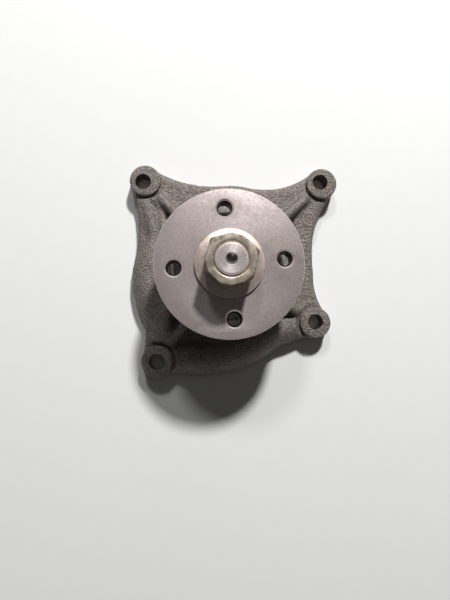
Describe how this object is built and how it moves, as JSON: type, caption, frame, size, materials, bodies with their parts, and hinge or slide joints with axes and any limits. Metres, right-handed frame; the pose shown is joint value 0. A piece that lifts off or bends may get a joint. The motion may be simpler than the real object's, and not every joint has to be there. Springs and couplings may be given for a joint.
{
  "type": "engine coolant pump",
  "caption": "Engine coolant pump: a star-shaped cast housing with bolt ears and a volute roll, a drilled pulley hub held by a flange nut, and a vaned impeller behind.",
  "frame": {"origin": "where the shaft axis meets the mounting face", "axes": "+Z along the shaft towards the pulley hub; +Y towards the side with the two widest-set ears (top of the picture); +X to the right in the picture"},
  "size_m": [0.1218, 0.1224, 0.062],
  "materials": {
    "cast_iron": "rough sand cast, dark oiled",
    "cast_iron_machined": "cast with turned rim",
    "turned_steel": "satin, fine turned",
    "shaft_steel": "bright turned",
    "zinc_plate": "glossy zinc plate with a yellow tint",
    "key_steel": "ground",
    "bearing_steel": "ground and polished",
    "cage_polymer": "moulded",
    "black_rubber": "matt",
    "spring_steel": "blackened",
    "seal_ceramic": "lapped",
    "seal_carbon": "lapped",
    "seal_brass": "drawn",
    "slinger_steel": "pressed"
  },
  "bodies": {
    "housing": {"pump_body": "cast_iron", "bearing_outer_race": "bearing_steel", "front_bearing_shield": "black_rubber", "rear_bearing_shield": "black_rubber", "bearing_retaining_ring": "spring_steel", "seal_cup": "seal_brass", "seal_bellows": "black_rubber", "seal_spring": "spring_steel", "seal_carbon_ring": "seal_carbon"},
    "rotor": {"shaft": "shaft_steel", "pulley_hub": "turned_steel", "hub_key": "key_steel", "flange_nut": "zinc_plate", "bearing_inner_race": "bearing_steel", "water_slinger": "slinger_steel", "seal_seat_ring": "seal_ceramic", "seal_seat_cup": "black_rubber", "impeller": "cast_iron_machined"},
    "front_cage": {"front_bearing_cage": "cage_polymer", "front_bearing_balls": "bearing_steel"},
    "rear_cage": {"rear_bearing_cage": "cage_polymer", "rear_bearing_balls": "bearing_steel"}
  },
  "joints": [
    {"name": "shaft_spin", "type": "hinge", "parent": "housing", "child": "rotor", "pos_m": [0, 0, 0.023], "axis": [0, 0, 1], "continuous": true},
    {"name": "front_cage_orbit", "type": "hinge", "parent": "housing", "child": "front_cage", "pos_m": [0, 0, 0.0266], "axis": [0, 0, 1], "continuous": true},
    {"name": "rear_cage_orbit", "type": "hinge", "parent": "housing", "child": "rear_cage", "pos_m": [0, 0, 0.0194], "axis": [0, 0, 1], "continuous": true}
  ],
  "couplings": [
    {"joint": "front_cage_orbit", "follows": "shaft_spin", "ratio": 0.4025},
    {"joint": "rear_cage_orbit", "follows": "shaft_spin", "ratio": 0.4025}
  ]
}
